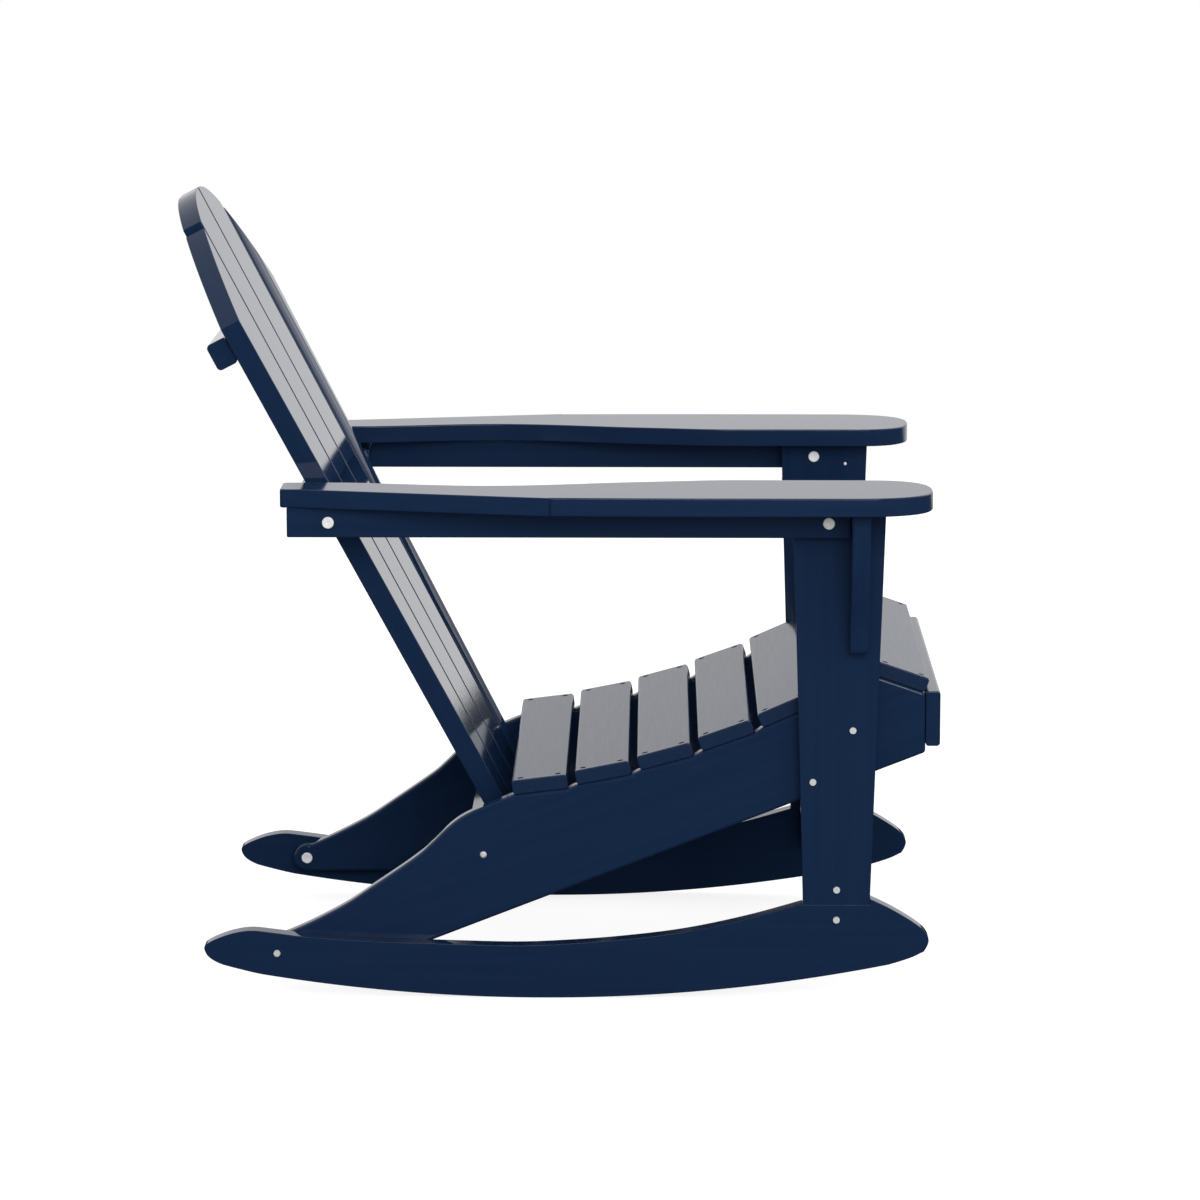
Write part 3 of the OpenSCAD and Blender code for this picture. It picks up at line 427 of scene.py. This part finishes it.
def mark_crown(board, along):
    """Writes how near each corner lies to the board's inner edge: 1 there, and falling."""
    heights = [v.co.dot(along) for v in board.data.vertices]
    low, high = min(heights), max(heights)
    span = high - low

    def edges(from_share, to_share):
        xs = [v.co.x for v, h in zip(board.data.vertices, heights)
              if low + from_share * span <= h <= low + to_share * span]
        return min(xs), max(xs)

    foot, head_end = edges(0, 0.02), edges(0.7, 1)
    crown = board.data.attributes.new(CROWN_ATTRIBUTE, "FLOAT", "POINT")
    for vertex, height, value in zip(board.data.vertices, heights, crown.data):
        share = (height - low) / span
        inner = foot[0] + share * (head_end[0] - foot[0])
        value.value = 1 - (vertex.co.x - inner) / ((foot[1] - foot[0]) * CROWN_REACH)
    print("crowned board, inner edge at foot and top:", round(foot[0], 3), round(head_end[0], 3))


def mark_grain(board, along, number):
    """Writes each corner's place on the board in millimetres as a vector attribute."""
    side = ALONG_X if abs(along.x) < 0.5 else ALONG_Y
    across = along.cross(side).normalized()
    through = along.cross(across).normalized()
    places = board.data.attributes.new(GRAIN_ATTRIBUTE, "FLOAT_VECTOR", "POINT")
    for vertex, place in zip(board.data.vertices, places.data):
        flat = Vector((vertex.co.dot(along), vertex.co.dot(across), vertex.co.dot(through)))
        place.vector = flat / MM + PATTERN_STEP * number
    for kind, amount in DULLNESS.items():
        if board.name.startswith(kind):
            dullness = board.data.attributes.new(DULL_ATTRIBUTE, "FLOAT", "POINT")
            for value in dullness.data:
                value.value = amount
    if board.name.startswith("back_slat_4"):
        mark_crown(board, along)


def smooth(board):
    """Smooth shading on the rounded edges, with the broad faces kept flat."""
    board.data.shade_smooth()
    keep = board.modifiers.new("flat faces", "WEIGHTED_NORMAL")
    keep.keep_sharp = True
    keep.weight = 80


# %% Make the boards
for number, (name, (along, radius)) in enumerate(BOARDS.items()):
    board = rounded_board(name, radius * MM)
    mark_grain(board, along, number)
    smooth(board)
    board.data.materials.append(LUMBER)
    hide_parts(name)
    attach(board, "root")
print("boards rounded:", len(BOARDS))

# %% [markdown]
# ## Bolts, nuts and screws
#
# The chair has more than a hundred fasteners of only a few shapes. Each shape is turned on a
# lathe, so it is a shank whose top face grows in steps: out to the head, up its rim, round its
# edge, in to its middle. Geometry Nodes do exactly that with Extrude Mesh and Scale Elements, cut
# the socket, and then set the same fastener on every place with Instance on Points. The steps
# are shares of the head's radius and height, so one tree fits heads of any size.

# %% The node tree of a turned fastener
SIZES = ("Head radius", "Head height", "Socket radius", "Socket depth", "Shank radius",
         "Shank length")
SIDES = 40
TURN_SEED = 7


def turned_fastener(name, steps):
    """A tree that sets a fastener on every point of its input, along the points' axis."""
    tree = bpy.data.node_groups.new(name, "GeometryNodeTree")
    tree.interface.new_socket("Places", in_out="INPUT", socket_type="NodeSocketGeometry")
    for label in SIZES:
        size = tree.interface.new_socket(label, in_out="INPUT", socket_type="NodeSocketFloat")
        size.subtype = "DISTANCE"
    tree.interface.new_socket("Metal", in_out="INPUT", socket_type="NodeSocketMaterial")
    tree.interface.new_socket("Fasteners", in_out="OUTPUT", socket_type="NodeSocketGeometry")
    given = tree.nodes.new("NodeGroupInput").outputs
    result = tree.nodes.new("NodeGroupOutput")

    def times(value, factor):
        product = add(tree, "ShaderNodeMath", {"operation": "MULTIPLY"})
        tree.links.new(value, product.inputs[0])
        product.inputs[1].default_value = factor
        return product.outputs[0]

    def moved(shape, height):
        lift = add(tree, "ShaderNodeCombineXYZ", Z=height)
        return add(tree, "GeometryNodeTransform", Geometry=shape, Translation=lift.outputs[0])

    shank = add(tree, "GeometryNodeMeshCylinder", Vertices=SIDES, Radius=given["Shank radius"],
                Depth=given["Shank length"])
    body = moved(shank.outputs["Mesh"], times(given["Shank length"], -0.5)).outputs[0]
    top = shank.outputs["Top"]
    spread = add(tree, "ShaderNodeMath", {"operation": "DIVIDE"})
    tree.links.new(given["Head radius"], spread.inputs[0])
    tree.links.new(given["Shank radius"], spread.inputs[1])
    grow, at_radius, at_height = spread.outputs[0], 1.0, 0.0
    for radius, height in [(1.0, 0.0)] + steps:
        if radius != at_radius:
            grow = radius / at_radius
        rise = add(tree, "GeometryNodeExtrudeMesh", Mesh=body, Selection=top,
                   Offset_Scale=times(given["Head height"], height - at_height))
        top = rise.outputs["Top"]
        body = rise.outputs["Mesh"]
        if grow != 1.0:
            body = add(tree, "GeometryNodeScaleElements", Geometry=body, Selection=top,
                       Scale=grow).outputs[0]
        grow, at_radius, at_height = 1.0, radius, height

    key = add(tree, "GeometryNodeMeshCylinder", Vertices=6, Radius=given["Socket radius"],
              Depth=times(given["Socket depth"], 2.0))
    socket = moved(key.outputs["Mesh"], given["Head height"])
    cut = add(tree, "GeometryNodeMeshBoolean", {"operation": "DIFFERENCE", "solver": "EXACT"})
    tree.links.new(body, cut.inputs["Mesh 1"])
    tree.links.new(socket.outputs[0], cut.inputs["Mesh 2"])

    axis = add(tree, "GeometryNodeInputNamedAttribute", {"data_type": "FLOAT_VECTOR"}, Name="axis")
    aim = add(tree, "FunctionNodeAlignRotationToVector", {"axis": "Z"}, Vector=axis.outputs[0])
    placed = add(tree, "GeometryNodeInstanceOnPoints", Points=given["Places"],
                 Instance=cut.outputs["Mesh"], Rotation=aim.outputs[0])
    # No two sockets stop at the same turn of the key
    turn = add(tree, "FunctionNodeRandomValue", {"data_type": "FLOAT"}, Max=math.tau,
               Seed=TURN_SEED)
    chance = next(o for o in turn.outputs if o.enabled)
    turned = add(tree, "GeometryNodeRotateInstances", Instances=placed.outputs[0],
                 Rotation=add(tree, "FunctionNodeEulerToRotation",
                              Euler=add(tree, "ShaderNodeCombineXYZ", Z=chance).outputs[0]
                              ).outputs[0])
    real = add(tree, "GeometryNodeRealizeInstances", Geometry=turned.outputs[0])
    finish = add(tree, "GeometryNodeSetMaterial", Geometry=real.outputs[0],
                 Material=given["Metal"])
    tree.links.new(finish.outputs[0], result.inputs[0])
    return tree


FLAT_HEAD = turned_fastener("flat_head_bolt", [
    (1.0, 0.74), (0.985, 0.87), (0.945, 0.96), (0.89, 1.0), (0.745, 1.0), (0.715, 0.80)])
DOME_HEAD = turned_fastener("dome_head_nut", [
    (1.0, 0.06), (0.97, 0.28), (0.89, 0.52), (0.77, 0.72), (0.62, 0.88), (0.47, 0.98)])
SCREW_HEAD = turned_fastener("sunk_screw", [(1.0, 0.86), (0.94, 1.0)])
print("fastener trees:", FLAT_HEAD.name, DOME_HEAD.name, SCREW_HEAD.name)

# %% [markdown]
# ## Where the fasteners go
#
# The construction model knows each fastener's place, and reading it from there keeps the new one
# in its bore. Each loose solid of a fastener node is long and thin, so its axis is the direction
# in which its corners spread most. The head is at the wider end.

# %% Places of the fasteners
END = 1.0 * MM
COATED_SCREWS = ("seat_screws", "apron_screws")


def loose_solids(mesh):
    """The corner places of each separate solid in a mesh."""
    bm = bmesh.new()
    bm.from_mesh(mesh)
    bmesh.ops.remove_doubles(bm, verts=bm.verts, dist=MERGE)
    for chain in chains(bm.edges):
        yield np.array(sorted({tuple(v.co) for edge in chain for v in edge.verts}))
    bm.free()


def fastener_place(corners, head_height):
    """Where a fastener's head sits, which way it points, and how long the shank is."""
    middle = (corners.min(axis=0) + corners.max(axis=0)) / 2
    axis = np.linalg.svd(corners - middle, full_matrices=False)[2][0]
    along = (corners - middle) @ axis
    out = np.linalg.norm((corners - middle) - np.outer(along, axis), axis=1)
    if out[along > along.max() - END].max() < out[along < along.min() + END].max():
        axis, along = -axis, -along
    foot = middle + axis * (along.max() - head_height)
    return foot, axis, float(along.max() - along.min()) - head_height


def set_fasteners(node, tree, metal, sizes):
    """Makes the fasteners of one construction node from a tree."""
    solids = loose_solids(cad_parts[node].data)
    found = [fastener_place(corners, sizes["Head height"]) for corners in solids]
    points = bpy.data.meshes.new(node + "_places")
    points.from_pydata([tuple(foot) for foot, _, _ in found], [], [])
    axes = points.attributes.new("axis", "FLOAT_VECTOR", "POINT")
    axes.data.foreach_set("vector", [c for _, axis, _ in found for c in axis])
    piece = bpy.data.objects.new(node + "_metal", points)
    bpy.context.scene.collection.objects.link(piece)
    maker = piece.modifiers.new("fasteners", "NODES")
    maker.node_group = tree
    values = dict(sizes, Metal=metal)
    values["Shank length"] = found[0][2]
    for item in tree.interface.items_tree:
        if item.in_out == "INPUT" and item.name in values:
            maker[item.identifier] = values[item.name]
    mesh = bpy.data.meshes.new_from_object(
        piece.evaluated_get(bpy.context.evaluated_depsgraph_get()))
    piece.modifiers.remove(maker)
    piece.data = mesh
    mesh.shade_smooth()
    mesh.set_sharp_from_angle(angle=SHARP)
    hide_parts(node)
    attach(piece, "root")
    return len(found), len(mesh.polygons)


# %% Set the fasteners
def head(radius, height, socket, depth, shank):
    """Sizes of a fastener in millimetres, named as the trees name them."""
    return dict(zip(SIZES, (v * MM for v in (radius, height, socket, depth, shank))))


BOLT = head(7.0, 2.8, 3.0, 1.6, 3.0)
FLAT_NUT = head(7.0, 2.8, 3.0, 1.6, 4.0)
DOME_NUT = head(4.1, 2.2, 1.6, 1.0, 4.0)
DOME_BOLT = head(4.1, 2.2, 1.6, 1.0, 3.0)
SCREW = head(3.6, 2.2, 1.5, 1.2, 2.0)
SMALL_SCREW = head(1.9, 1.1, 0.9, 0.7, 1.5)
FASTENERS = {
    "front_arm_bolts": (FLAT_HEAD, BOLT), "rear_arm_bolts": (FLAT_HEAD, BOLT),
    "leg_bolts": (FLAT_HEAD, BOLT), "rocker_bolts": (FLAT_HEAD, BOLT),
    "plate_bolts": (FLAT_HEAD, BOLT), "front_arm_nuts": (FLAT_HEAD, FLAT_NUT),
    "leg_nuts": (DOME_HEAD, DOME_NUT), "rocker_nuts": (DOME_HEAD, DOME_NUT),
    "plate_nuts": (DOME_HEAD, DOME_NUT), "lower_rail_bolts": (DOME_HEAD, DOME_BOLT),
    "seat_screws": (SCREW_HEAD, SCREW), "apron_screws": (SCREW_HEAD, SCREW),
    "upper_rail_screws": (SCREW_HEAD, SCREW), "cross_rail_screws": (SCREW_HEAD, SCREW),
    "lower_rail_screws": (SCREW_HEAD, SCREW), "armrest_screws": (SCREW_HEAD, SCREW),
    "bracket_screws": (SCREW_HEAD, SMALL_SCREW),
}
for name, (tree, sizes) in FASTENERS.items():
    metal = COATED if name in COATED_SCREWS else SHADED_STAINLESS if tree == DOME_HEAD else STAINLESS
    print(name, "fasteners and faces:", set_fasteners(name, tree, metal, sizes))
